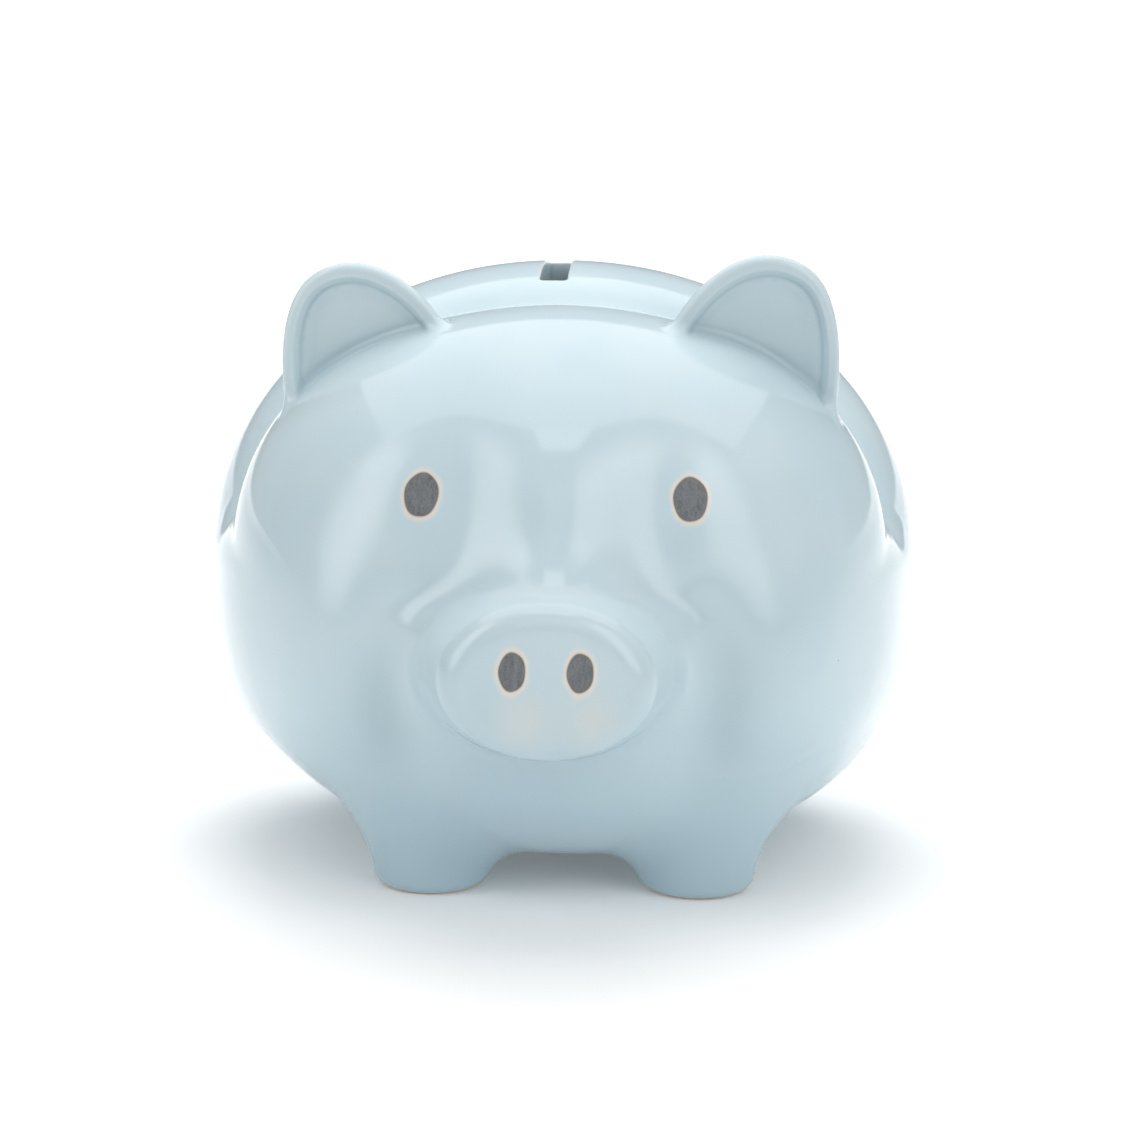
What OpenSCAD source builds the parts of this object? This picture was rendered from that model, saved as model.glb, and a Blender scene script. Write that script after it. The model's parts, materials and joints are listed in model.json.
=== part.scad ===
// Ceramic piggy bank: a hollow slip-cast pig with a coin slot in its back, four stub feet,
// cupped ears, a flared snout, a curled tail in relief, and a soft stopper in the belly.
// The pig faces -Y, +X is to its viewer's right and +Z is up. The feet stand on z = 0.

/* [Trunk] */
// Width across the flanks
trunk_w = 143; // [138:1:150]
// Length of the trunk without head and tail
trunk_len = 108; // [104:1:114]
// Height of the hump above the floor
hump_z = 116.3; // [114:0.1:119]
// Height at which the trunk is widest
waist_z = 56.5; // [54:0.5:60]
// How far the middle of the trunk lies behind the origin
trunk_y = 20; // [18:0.5:22]
// Clearance between the belly's lowest stretch and the floor
belly_z = 3.5; // [3:0.5:5]
// Thickness of the cast wall
wall = 4.5; // [3.5:0.5:5.5]

/* [Head] */
// Width across the cheeks
head_w = 128.4; // [124:0.1:132]
// Depth of the head's egg from front to back
head_len = 100; // [98:1:106]
// Height of the crown above the floor
crown_z = 111.5; // [109:0.5:113]
// Height of the middle of the head
head_z = 60; // [57:0.5:63]
// How far the middle of the head lies in front of the origin
head_y = 14; // [12:0.5:16]
// Blend radius of the neck crease at the crown
crease_crown = 2.5; // [1:0.5:5]
// Blend radius between head and trunk low on the flanks
crease_flank = 20; // [12:1:26]
// How deep the neck is pinched above the flanks
neck_depth = 1.2; // [0:0.1:2]
// How far the belly sags to one side towards the feet
belly_shift = 2.2; // [0:0.1:3]

/* [Coin slot] */
// Clear width of the slot
slot_w = 5.4; // [5:0.1:8]
// Length of the slot along the back
slot_len = 26; // [25:0.5:34]
// How far the middle of the slot lies behind the origin
slot_y = 20; // [19:0.1:26]
// Sideways offset of the hand-cut slot
slot_x = -1.9; // [-2:0.1:2]
// Angle of the slot to the pig's middle plane
slot_turn = 2.5; // [0:0.5:6]

/* [Snout] */
// Width of the snout's face
snout_w = 37.8; // [34:0.1:42]
// Height of the snout's face
snout_h = 27.8; // [24:0.1:32]
// Height of the snout's middle
snout_z = 52; // [50:0.5:56]
// How far the snout's face lies in front of the origin
snout_front = 78; // [76:0.5:80]
// Sideways offset of the hand-set snout
snout_x = -0.8; // [-1.5:0.1:1.5]
// Rounding of the snout's rim
snout_round = 3.8; // [2:0.1:4.5]
// Share by which the snout widens to its root
snout_flare = 0.3; // [0.1:0.02:0.34]
// Depth over which the snout widens
snout_depth = 16; // [14:1:20]

/* [Ears] */
// Width of the left ear's inner half at its base
ear_in_left = 19; // [16:0.5:21]
// Width of the right ear's inner half at its base
ear_in_right = 20.5; // [16:0.5:21]
// Width of each ear's outer half at its base
ear_out = 17.8; // [15:0.1:19]
// Height of the left ear above its base line
ear_h_left = 25.5; // [22:0.5:28]
// Height of the right ear above its base line
ear_h_right = 27.2; // [22:0.1:28]
// Thickness of an ear at its rounded rim
ear_t = 4.6; // [4:0.2:5.4]
// Distance of an ear's base from the middle plane
ear_x = 36.2; // [35:0.1:38]
// Height of the middle of an ear's base
ear_z = 95.2; // [94:0.1:97]
// Slope of an ear's base line
ear_slope = 35.8; // [32:0.2:38]

/* [Feet] */
// Diameter of a foot at its sole
foot_d = 21.6; // [19:0.2:24]
// Distance of the feet from the middle plane
foot_x = 25.5; // [24:0.5:27]
// Sideways offset of the hand-set feet
foot_shift = 2; // [-2:0.5:2]
// How far the front feet lie in front of the origin
foot_front = 27; // [25:0.5:29]
// How far the rear feet lie behind the origin
foot_rear = 44; // [42:0.5:46]
// Rounding at the sole's edge
foot_round = 2.5; // [1:0.5:3.5]

/* [Face] */
// Width of an eye
eye_w = 6.4; // [5:0.2:8]
// Height of an eye
eye_h = 8.4; // [6:0.2:10]
// Distance of the eyes from the middle plane
eye_x = 25; // [23:0.5:27]
// Height of the eyes
eye_z = 82.5; // [80:0.5:86]
// Width of a nostril
nostril_w = 4.9; // [4:0.1:6]
// Height of a nostril
nostril_h = 7.2; // [6:0.1:8.4]
// Distance of the nostrils from the snout's middle
nostril_x = 6.2; // [5:0.1:7]
// Height of the nostrils above the snout's middle
nostril_up = 2.6; // [1:0.1:4]
// Thickness of the dark glaze in its shallow pocket
inlay_t = 1.2; // [0.8:0.1:1.6]

/* [Stopper] */
// Diameter of the hole in the belly
hole_d = 27; // [26:0.5:30]
// Radial clearance between the stopper and its hole
hole_fit = 0.05; // [0.02:0.01:0.1]
// How far the stopper lies behind the origin
hole_y = 8; // [6:0.5:10]
// Diameter of the stopper's flange
flange_d = 34; // [32:0.5:36]
// Thickness of the stopper's flange
flange_t = 2.2; // [1.8:0.2:2.6]
// Height of the plug above the flange
plug_h = 11; // [9:0.5:14]
// Thickness of the grip bar across the stopper's cup
grip_t = 4; // [3:0.5:5]

/* [Tail] */
// Radius of the tail at its root
tail_r = 3.3; // [2.6:0.1:3.5]
// Outer radius of the tail's curl
curl_r = 11; // [10.5:0.5:13]
// Height of the middle of the curl
tail_z = 66; // [58:1:74]
// Angle through which the tail winds
curl_turn = 390; // [300:10:400]

/* [Smoothness] */
// Segments around the body
around = 64; // [48:4:72]
// Rings from crown to belly
rings = 32; // [24:2:36]

/* [Hidden] */
$fn = 64;
glaze = [0.80, 0.88, 0.90];
dark_glaze = [0.42, 0.44, 0.46];
rubber = [0.75, 0.76, 0.76];
ray_start = [0, -2, 58];
ray_far = 110;
ear_front = -16;
ear_turn = 6;
ear_skew_left = -3.6;
ear_skew_right = -6;
ear_cup = 0.011;
ear_cup_out = 0.022;
ear_curl = 0.006;
ear_set = -2;
leg_taper = 0.16;
leg_top = 24;
cup_d = 20;
seat_depth = 1.2;
eps = 0.01;
snout_gap = 0.4;

// ---- Small helpers ----
function smooth_step(a, b, x) = let(t = max(0, min(1, (x - a) / (b - a)))) t * t * (3 - 2 * t);
function soft_min(a, b, k) = let(h = max(k - abs(a - b), 0) / k) min(a, b) - h * h * k / 4;
function soft_max(a, b, k) = -soft_min(-a, -b, k);
function bump(p, c, r) =
    exp(-(pow((p[0] - c[0]) / r[0], 2) + pow((p[1] - c[1]) / r[1], 2) + pow((p[2] - c[2]) / r[2], 2)));
function unit(v) = v / norm(v);

// ---- The pig's skin: a signed distance, negative inside ----
// An egg whose front view is a superellipse with its own upper and lower half
function egg(p, c, half_w, half_len, up, down, n_up, n_down) =
    let(q = p - c,
        half_h = q[2] > 0 ? up : down,
        n = q[2] > 0 ? n_up : n_down,
        a = abs(q[0]) / half_w,
        b = abs(q[2]) / half_h,
        y = abs(q[1]) / half_len,
        w = pow(max(pow(a, n) + pow(b, n), 1e-12), 1 / n),
        k = norm([w, y]),
        slope = pow(w, 1 - n) * norm([pow(a, n - 1) / half_w, pow(b, n - 1) / half_h]))
    (k - 1) * k / norm([w * slope, y / half_len]);
function trunk(p) =
    egg(p, [0, trunk_y, waist_z], trunk_w / 2, trunk_len / 2, hump_z - waist_z, waist_z - belly_z + 0.5, 2.05, 3);
// Swellings and hollows of the head: height, middle (mirrored in x) and reach of each
relief = [
    [5.5, [0, -61, 66.5], [12, 30, 7]], // bridge of the nose, sloping out to the snout
    [2, [0, -59, 76], [9, 30, 22]], // low ridge up the forehead
    [-2, [18, -57, 78], [8, 30, 16]], // hollow beside the bridge
    [3.2, [42, -47, 50], [13, 30, 17]], // cheek
    [-4, [28, -57, 42], [8, 30, 20]], // fold between muzzle and cheek
    [4, [0, -55, 25], [21, 30, 9]], // chin
    [-1, [0, -59, 36], [15, 30, 4]], // fold under the snout
    [0.9, [0, -5, 112], [17, 25, 12]], // crown between the ears
];
function swelling(p, i = 0) =
    i == len(relief) ? 0 : relief[i][0] * bump(p, relief[i][1], relief[i][2]) + swelling(p, i + 1);
function head(p) =
    egg(p, [0, -head_y, head_z], head_w / 2, head_len / 2, crown_z - head_z, head_z, 2.3, 2.1)
    - swelling([abs(p[0]), p[1], p[2]]);
// Head and trunk in one. The neck crease is sharp over the crown and fades down the flanks
function skin(p0) =
    let(p = p0 - [belly_shift * smooth_step(28, 14, p0[2]), 0, 0],
        sharp = smooth_step(60, 74, p[2]),
        body = trunk(p),
        face = head(p),
        k = crease_flank + (crease_crown - crease_flank) * sharp,
        pinch = neck_depth * sharp * exp(-pow((body - face) / 3, 2)))
    soft_max(soft_min(body, face, k) + pinch, belly_z - p[2], 14);
function inner_skin(p) = skin(p) + wall;

// Root of the skin on the stretch from a, inside, to b, outside
function skin_root(a, b, n = 16) =
    n == 0 ? (a + b) / 2
    : let(m = (a + b) / 2) skin(m) < 0 ? skin_root(m, b, n - 1) : skin_root(a, m, n - 1);
function inner_root(a, b, n = 16) =
    n == 0 ? (a + b) / 2
    : let(m = (a + b) / 2) inner_skin(m) < 0 ? inner_root(m, b, n - 1) : inner_root(a, m, n - 1);
function skin_normal(p, h = 0.05) =
    unit([skin(p + [h, 0, 0]) - skin(p - [h, 0, 0]),
          skin(p + [0, h, 0]) - skin(p - [0, h, 0]),
          skin(p + [0, 0, h]) - skin(p - [0, 0, h])]);
belly_low = skin_root([0, hole_y, 30], [0, hole_y, 0])[2];
seat_z = belly_low + seat_depth;

// ---- Closed shells from rings of points ----
// Rings of m points each, closed at both ends by a fan to one point
function fan_faces(n, m) =
    [for (j = [0 : m - 1]) [0, 1 + j, 1 + (j + 1) % m],
     for (i = [0 : n - 2], j = [0 : m - 1])
         let(a = 1 + i * m + j, b = 1 + i * m + (j + 1) % m)
         each [[a, a + m, b + m], [a, b + m, b]],
     for (j = [0 : m - 1])
         let(a = 1 + (n - 1) * m)
         [a + j, 1 + n * m, a + (j + 1) % m]];
module ring_solid(first, loops, last) {
    points = [first, for (l = loops) each l, last];
    polyhedron(points, fan_faces(len(loops), len(loops[0])), convexity = 6);
}

function ray(i, j, n, m) =
    let(t = 180 * i / n, f = 360 * j / m)
    [sin(t) * cos(f), sin(t) * sin(f), cos(t)];
module outer_solid() {
    n = rings;
    m = around;
    ring_solid(skin_root(ray_start, ray_start + [0, 0, ray_far]),
               [for (i = [1 : n - 1]) [for (j = [0 : m - 1])
                   skin_root(ray_start, ray_start + ray_far * ray(i, -j, n, m))]],
               skin_root(ray_start, ray_start - [0, 0, ray_far]));
}
module cavity_solid() {
    n = 18;
    m = 36;
    ring_solid(inner_root(ray_start, ray_start + [0, 0, ray_far]),
               [for (i = [1 : n - 1]) [for (j = [0 : m - 1])
                   inner_root(ray_start, ray_start + ray_far * ray(i, -j, n, m))]],
               inner_root(ray_start, ray_start - [0, 0, ray_far]));
}

// ---- Eyes ----
function eye_spot(side) = skin_root([side * eye_x, -20, eye_z], [side * eye_x, -90, eye_z]);
module at_eye(side) {
    p = eye_spot(side);
    n = skin_normal(p);
    v = unit([0, 0, 1] - n[2] * n);
    u = cross(v, n);
    multmatrix([[u[0], v[0], n[0], p[0]], [u[1], v[1], n[1], p[1]], [u[2], v[2], n[2], p[2]]]) children();
}
function oval(w, h, n = 24) = [for (j = [0 : n - 1]) [w / 2 * cos(360 * j / n), h / 2 * sin(360 * j / n)]];
module eye_pocket(side) {
    at_eye(side) translate([0, 0, -inlay_t]) linear_extrude(10) polygon(oval(eye_w, eye_h));
}
// An eye fills its pocket, and its face follows the skin
module eye(side) {
    p = eye_spot(side);
    n = skin_normal(p);
    v = unit([0, 0, 1] - n[2] * n);
    u = cross(v, n);
    face = function(q) skin_root(p + q[0] * u + q[1] * v - 8 * n, p + q[0] * u + q[1] * v + 8 * n);
    loops = [for (s = [0.4, 0.75, 1]) [for (q = oval(eye_w * s, eye_h * s)) face([-q[0], q[1]])]];
    back = [for (s = [1, 0.5]) [for (q = oval(eye_w * s, eye_h * s)) p - q[0] * u + q[1] * v - inlay_t * n]];
    color(dark_glaze) ring_solid(p, [each loops, each back], p - inlay_t * n);
}

// ---- Snout ----
// Outline point of the snout at depth y, for the angle f and the inset d from its side wall
function snout_point(f, y, d = 0) =
    let(flare = 1 + snout_flare * min(max((y + snout_front) / snout_depth, 0), 1))
    [snout_x + (snout_w / 2 * flare - d) * cos(f), y, snout_z + (snout_h / 2 * flare - d) * sin(f)];
function snout_root(f, a = -50, b = -77, n = 16) =
    n == 0 ? (a + b) / 2 - snout_gap
    : let(m = (a + b) / 2) skin(snout_point(f, m)) < 0 ? snout_root(f, m, b, n - 1) : snout_root(f, a, m, n - 1);
module snout_solid() {
    m = 36;
    r = snout_round;
    front = [for (s = [0.45, 0.8]) [for (j = [0 : m - 1])
        let(p = snout_point(360 * j / m, -snout_front, r), c = [snout_x, -snout_front, snout_z]) c + s * (p - c)]];
    rim = [for (a = [0 : 22.5 : 90]) [for (j = [0 : m - 1])
        snout_point(360 * j / m, -snout_front + r * (1 - cos(a)), r * (1 - sin(a)))]];
    side = [for (s = [0.35, 0.7, 1]) [for (j = [0 : m - 1])
        let(f = 360 * j / m, y0 = -snout_front + r) snout_point(f, y0 + s * (snout_root(f) - y0))]];
    back = [for (s = [0.66, 0.33]) [for (j = [0 : m - 1])
        let(f = 360 * j / m, p = snout_point(f, snout_root(f)), x = snout_x + s * (p[0] - snout_x),
            z = snout_z + s * (p[2] - snout_z))
        skin_root([x, -30, z], [x, -90, z]) - [0, snout_gap, 0]]];
    ring_solid([snout_x, -snout_front, snout_z], [each front, each rim, each side, each back],
               skin_root([snout_x, -30, snout_z], [snout_x, -90, snout_z]) - [0, snout_gap, 0]);
}
module at_nostril(side) {
    translate([snout_x + side * nostril_x, -snout_front, snout_z + nostril_up]) rotate([90, 0, 0]) children();
}
module nostril(side) {
    color(dark_glaze) at_nostril(side)
        translate([0, 0, -inlay_t]) linear_extrude(inlay_t) polygon(oval(nostril_w, nostril_h));
}
module snout() {
    color(glaze) difference() {
        snout_solid();
        for (side = [-1, 1])
            at_nostril(side) translate([0, 0, -inlay_t]) linear_extrude(5) polygon(oval(nostril_w, nostril_h));
    }
}

// ---- Ears: a cupped leaf with a rounded rim ----
ear_u = [cos(ear_slope) * cos(ear_turn), cos(ear_slope) * sin(ear_turn), -sin(ear_slope)];
ear_w0 = [sin(ear_turn), -cos(ear_turn), 0];
ear_v = cross(ear_w0, ear_u);
ear_origin = [ear_x, ear_front, ear_z];
ear_in = [ear_in_left, ear_in_right];
ear_h = [ear_h_left, ear_h_right];
ear_skew = [ear_skew_left, ear_skew_right];
// Point of ear k at height v, for the angle f around the leaf's section
function ear_point(k, f, v) =
    let(t = max(v, 0) / ear_h[k],
        outer = cos(f) > 0,
        half = outer ? ear_out * sqrt(max(1 - pow(t, 1.5), 0)) : ear_in[k] * sqrt(max(1 - t * t, 0)),
        r = ear_t / 2,
        edge = max(0, (half * abs(cos(f)) - max(half - r, 0)) / r),
        top = max(0, (v - (ear_h[k] - r)) / r),
        d = r * sqrt(max(0, 1 - edge * edge)) * sqrt(max(0, 1 - top * top)),
        across = half * cos(f),
        cup = outer ? ear_cup_out : ear_cup,
        lift = cup * across * across + ear_curl * pow(max(v, 0), 2) + ear_set,
        u = ear_skew[k] * v / ear_h[k] + across)
    ear_origin + u * ear_u + v * ear_v + (lift + (sin(f) > 0 ? d : -d)) * ear_w0;
function ear_root(k, f, a = -14, b = 16, n = 16) =
    n == 0 ? (a + b) / 2
    : let(m = (a + b) / 2)
      skin(ear_point(k, f, m)) < 0 ? ear_root(k, f, m, b, n - 1) : ear_root(k, f, a, m, n - 1);
module ear_solid(k) {
    m = 32;
    steps = 14;
    roots = [for (j = [0 : m - 1]) ear_root(k, 360 * (j + 0.5) / m)];
    sides = [for (i = [0 : steps - 1], j = [0 : m - 1])
        let(s = sin(90 * i / steps)) ear_point(k, 360 * (j + 0.5) / m, roots[j] + s * (ear_h[k] - roots[j]))];
    tip = ear_point(k, 90, ear_h[k]);
    faces = [for (i = [0 : steps - 2], j = [0 : m - 1])
                 let(a = i * m + j, b = i * m + (j + 1) % m)
                 each [[a, a + m, b + m], [a, b + m, b]],
             for (j = [0 : m - 1])
                 let(a = (steps - 1) * m) [a + j, steps * m, a + (j + 1) % m],
             for (j = [0 : m / 2 - 2])
                 each [[j, j + 1, m - 2 - j], [j, m - 2 - j, m - 1 - j]]];
    polyhedron([each sides, tip], faces, convexity = 6);
}
module ear(side) {
    color(glaze) mirror([side < 0 ? 1 : 0, 0, 0]) ear_solid(side < 0 ? 0 : 1);
}

// ---- Feet: a turned stub whose top follows the belly ----
module belly_block(cx, cy, half) {
    n = 10;
    grid = [for (i = [0 : n], j = [0 : n])
        let(x = cx + half * (2 * i / n - 1), y = cy + half * (2 * j / n - 1))
        skin_root([x, y, 50], [x, y, -5])];
    lid = [for (p = grid) [p[0], p[1], 60]];
    count = (n + 1) * (n + 1);
    edge = [for (i = [0 : n - 1]) i * (n + 1), for (j = [0 : n - 1]) n * (n + 1) + j,
            for (i = [n : -1 : 1]) i * (n + 1) + n, for (j = [n : -1 : 1]) j];
    faces = [for (i = [0 : n - 1], j = [0 : n - 1])
                 let(a = i * (n + 1) + j, b = a + n + 1)
                 each [[a, b + 1, a + 1], [a, b, b + 1],
                       [count + a, count + a + 1, count + b + 1], [count + a, count + b + 1, count + b]],
             for (k = [0 : len(edge) - 1])
                 let(a = edge[k], b = edge[(k + 1) % len(edge)])
                 each [[a, count + b, b], [a, count + a, count + b]]];
    polyhedron([each grid, each lid], faces, convexity = 6);
}
module foot(side, y) {
    x = side * foot_x + foot_shift;
    r = foot_d / 2;
    e = foot_round;
    color(glaze) difference() {
        translate([x, y, 0]) rotate_extrude() polygon([
            [0, 0],
            for (a = [0 : 15 : 90]) [r - e + e * sin(a), e * (1 - cos(a))],
            [r + leg_taper * leg_top, leg_top],
            [0, leg_top]]);
        belly_block(x, y, r + leg_taper * leg_top + 2);
    }
}

// ---- Tail: a tapering roll laid on the rump in one curl ----
function tail_centre(t) =
    let(a = 90 - curl_turn * t, r = curl_r * (1 - 0.56 * t), x = r * cos(a), z = tail_z + r * sin(a))
    skin_root([x, 30, z], [x, 95, z]);
module tail() {
    steps = 36;
    m = 10;
    loops = [for (i = [0 : steps])
        let(t = i / steps,
            p = tail_centre(t),
            along = unit(tail_centre(t + 0.01) - tail_centre(t - 0.01)),
            out = skin_normal(p),
            side = cross(along, out),
            r = tail_r * (1 - 0.45 * t) * (i == 0 || i == steps ? 0.55 : 1))
        [for (j = [0 : m - 1])
            let(a = -25 + 230 * j / (m - 1)) p + r * cos(a) * side + r * (sin(a) + sin(25)) * 0.8 * out]];
    start = (loops[0][0] + loops[0][m - 1]) / 2 + unit(tail_centre(-0.01) - tail_centre(0.01)) * 0.8;
    end = (loops[steps][0] + loops[steps][m - 1]) / 2 + unit(tail_centre(1.01) - tail_centre(0.99)) * 0.5;
    color(glaze) ring_solid(start, loops, end);
}

// ---- Stopper: a cup of soft rubber with a flange outside and a grip bar ----
module stopper() {
    r = hole_d / 2 - hole_fit;
    top = seat_z + plug_h;
    color(rubber) translate([0, hole_y, 0]) union() {
        difference() {
            union() {
                translate([0, 0, seat_z - flange_t]) cylinder(d = flange_d, h = flange_t);
                translate([0, 0, seat_z - eps]) cylinder(r = r, h = plug_h - 2 + eps);
                translate([0, 0, top - 2]) cylinder(r1 = r, r2 = r - 1.2, h = 2);
            }
            translate([0, 0, seat_z - flange_t - 1]) cylinder(d = cup_d, h = flange_t + plug_h - 1.5);
        }
        translate([-cup_d / 2 - 1, -grip_t / 2, seat_z - flange_t + 1])
            cube([cup_d + 2, grip_t, flange_t + plug_h - 3]);
    }
}

// ---- Body ----
module body_shell() {
    color(glaze) difference() {
        outer_solid();
        cavity_solid();
        translate([slot_x, slot_y, hump_z - 14]) rotate([0, 0, -slot_turn])
            translate([-slot_w / 2, -slot_len / 2, 0]) cube([slot_w, slot_len, 22]);
        translate([0, hole_y, -1]) cylinder(d = hole_d, h = 20);
        translate([0, hole_y, -1]) cylinder(d = flange_d + 1, h = seat_z + 1);
        for (side = [-1, 1]) eye_pocket(side);
    }
}

body_shell();
ear(-1);  // ear_left
ear(1);  // ear_right
snout();
eye(-1);  // eye_left
eye(1);  // eye_right
nostril(-1);  // nostril_left
nostril(1);  // nostril_right
foot(-1, -foot_front);  // foot_front_left
foot(1, -foot_front);  // foot_front_right
foot(-1, foot_rear);  // foot_rear_left
foot(1, foot_rear);  // foot_rear_right
tail();
stopper();
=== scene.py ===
"""A pale blue glazed pig money box: the looks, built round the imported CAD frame.

The glazed pig is one smooth implicit skin, meshed once and then cut along its natural joints into one
closed piece per CAD node, so that the pieces meet without a visible seam. Lengths are millimetres until a
mesh is handed to Blender. The pig faces -Y.
"""
import json
import math

import bpy
import numpy as np
from mathutils import Matrix, Vector

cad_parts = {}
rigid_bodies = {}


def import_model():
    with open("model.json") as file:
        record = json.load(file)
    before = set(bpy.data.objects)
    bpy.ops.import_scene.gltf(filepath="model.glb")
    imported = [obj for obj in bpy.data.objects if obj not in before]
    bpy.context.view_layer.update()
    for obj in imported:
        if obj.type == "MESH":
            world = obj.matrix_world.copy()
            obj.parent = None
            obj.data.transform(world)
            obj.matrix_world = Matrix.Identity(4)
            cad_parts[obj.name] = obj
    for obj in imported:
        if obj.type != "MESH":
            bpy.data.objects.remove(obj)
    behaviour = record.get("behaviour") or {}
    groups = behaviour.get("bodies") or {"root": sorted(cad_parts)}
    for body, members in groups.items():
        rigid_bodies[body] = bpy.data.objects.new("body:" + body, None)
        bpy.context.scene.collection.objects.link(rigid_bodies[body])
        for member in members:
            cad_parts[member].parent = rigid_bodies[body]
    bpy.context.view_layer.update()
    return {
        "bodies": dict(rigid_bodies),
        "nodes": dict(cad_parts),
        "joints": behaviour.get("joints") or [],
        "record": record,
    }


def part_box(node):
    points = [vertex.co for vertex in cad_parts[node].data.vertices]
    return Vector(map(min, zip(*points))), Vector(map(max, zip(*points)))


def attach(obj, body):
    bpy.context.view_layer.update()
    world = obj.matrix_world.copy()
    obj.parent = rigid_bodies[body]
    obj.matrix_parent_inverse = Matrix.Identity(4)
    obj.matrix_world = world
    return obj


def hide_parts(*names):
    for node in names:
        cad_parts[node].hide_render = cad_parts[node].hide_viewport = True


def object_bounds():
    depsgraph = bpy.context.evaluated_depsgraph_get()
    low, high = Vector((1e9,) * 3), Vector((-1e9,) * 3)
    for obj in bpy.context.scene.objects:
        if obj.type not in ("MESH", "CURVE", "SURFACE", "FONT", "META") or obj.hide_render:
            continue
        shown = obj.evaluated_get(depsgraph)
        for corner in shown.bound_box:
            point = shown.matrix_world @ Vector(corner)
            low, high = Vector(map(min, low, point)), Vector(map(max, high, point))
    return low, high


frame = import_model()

MM = 0.001


def node_box(node):
    """Lowest and highest corner of a CAD node, in millimetres."""
    low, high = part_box(node)
    return np.array(low) / MM, np.array(high) / MM


# ---------------------------------------------------------------- sizes, from the frame and the CAD design
SHELL_LOW, SHELL_HIGH = node_box("body_shell")
SNOUT_LOW, SNOUT_HIGH = node_box("snout")
STOPPER_LOW, STOPPER_HIGH = node_box("stopper")

CELL = 1.5        # size of a meshing cell
FINE_TURN, FINE_EDGE = math.radians(9), 0.45    # longer edges are halved where the surface turns by more
PAINT_BAND, PAINT_EDGE = 1.5, 0.55       # longer edges are halved within the band along a painted outline
WALL = 4.5                               # thickness of the cast wall
EDGE_ROUND, SOLE_ROUND = 0.8, 0.6        # roundings of the stopper's hole and of the soles
INNER_ROUND = 1.0                        # rounding where the cavity meets another cut
TRUNK = dict(centre=(0, 20, 56.5), half_width=71.5, half_length=54, up=59.8, down=53.5, n_up=2.05, n_down=3)
HEAD = dict(centre=(0, -14, 60), half_width=64.2, half_length=50, up=51.5, down=60, n_up=2.3, n_down=2.1)
CREASE_CROWN, CREASE_FLANK = 2.5, 20.0   # blend radius of the neck crease, at the crown and at the flanks
NECK_DEPTH, NECK_WIDTH = 1.2, 3.0        # pinch of the neck above the flanks
BELLY_Z, BELLY_BLEND = 3.5, 14.0
BELLY_SHIFT = 2.2                        # the cast sags a little to one side towards the feet

SLOT_SIZE = (5.4, 26.0)
SLOT_MIDDLE = (-1.9, 20.0)
SLOT_TURN = math.radians(-2.5)
SLOT_LIP = 0.6                           # rounding of the slot's glazed lips
SLOT_CORNER = 1.0                        # rounding of the slot's corners, seen from above
SLOT_BOTTOM = 90.0                       # height at which its cut ends, inside the cavity

SNOUT_MIDDLE = ((SNOUT_LOW[0] + SNOUT_HIGH[0]) / 2, 52.0)
SNOUT_FRONT = SNOUT_LOW[1]
SNOUT_HALF = (18.9, 13.9)
SNOUT_ROUND = 3.8
SNOUT_FLARE, SNOUT_DEPTH = 0.01875, 24.0 # share by which the side widens per mm, and how far back it does
SNOUT_BACK = -40.0                       # y at which the snout's solid ends, inside the head
SNOUT_BLEND, SNOUT_BLEND_TOP = 6.5, 3.5  # fillet round the snout's foot, below and above

EAR_BASE = (36.2, -16.0, 95.2)
EAR_SLOPE, EAR_TURN = math.radians(35.8), math.radians(6)
EAR_IN = {-1: 19.0, 1: 20.5}             # the two ears are given one by one and differ a little
EAR_OUT = {-1: 17.8, 1: 17.8}
EAR_RISE = {-1: 25.5, 1: 27.2}
EAR_SKEW = {-1: -3.6, 1: -6.0}
EAR_ARCH_OUT = 1.5                       # the outer side of the leaf is straighter than the inner one
EAR_CUP, EAR_CUP_OUT = 0.011, 0.022      # the outer side curls further forward
EAR_CURL, EAR_SET, EAR_RADIUS = 0.006, -2.0, 2.3
EAR_RIM, EAR_DISH = 2.3, 0.9             # width of the raised rim, and how far the face lies below it
EAR_SEAM, EAR_SEAM_AT, EAR_SEAM_WIDTH = 0.25, -0.7, 0.28    # depth, place and width of the rim's mould seam
EAR_ROOT = 14.0                          # how far the leaf goes on below its base line
EAR_BLEND = 2.5

FOOT_RADIUS = 10.8
FOOT_ROUND = 2.5
FOOT_TAPER = 0.16
FOOT_BLEND = 9.0
FOOT_TOP = 22.0                          # height at which a foot's solid ends, inside the belly
FEET = {}
for _name in ("foot_front_left", "foot_front_right", "foot_rear_left", "foot_rear_right"):
    _low, _high = node_box(_name)
    FEET[_name] = tuple((_low[:2] + _high[:2]) / 2)

EYE_SIZE = (6.4, 8.4)
EYE_X, EYE_Z = 25.0, 82.5
NOSTRIL_SIZE = (4.9, 7.2)
NOSTRIL_X, NOSTRIL_UP = 6.2, 2.6
INLAY = 1.2

HOLE_MIDDLE = tuple((STOPPER_LOW[:2] + STOPPER_HIGH[:2]) / 2)
HOLE_RADIUS = 13.5
FLANGE_RADIUS = (STOPPER_HIGH[0] - STOPPER_LOW[0]) / 2
FLANGE_THICK = 2.2
SEAT_GAP = 0.5                           # clearance round the stopper's flange
BORE_TOP = 25.0
SEAT_Z = STOPPER_LOW[2] + FLANGE_THICK
PLUG_TOP = STOPPER_HIGH[2]
CUP_RADIUS = 10.0
GRIP_HALF = 2.0

TAIL_RADIUS = 3.3
TAIL_START, TAIL_TAPER = 0.95, 0.45      # share of that radius at the root, and share lost by the tip
TAIL_PROUD = 0.25                        # share of that radius by which the tail's line stands off the rump
TAIL_BLEND = 2.2
CURL_RADIUS, CURL_TIGHTENS = 11.0, 0.56  # radius of the curl at the root, and share lost by the tip
CURL_Z = 66.0
CURL_TURN = math.radians(390)
FAR = 1e3


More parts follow.
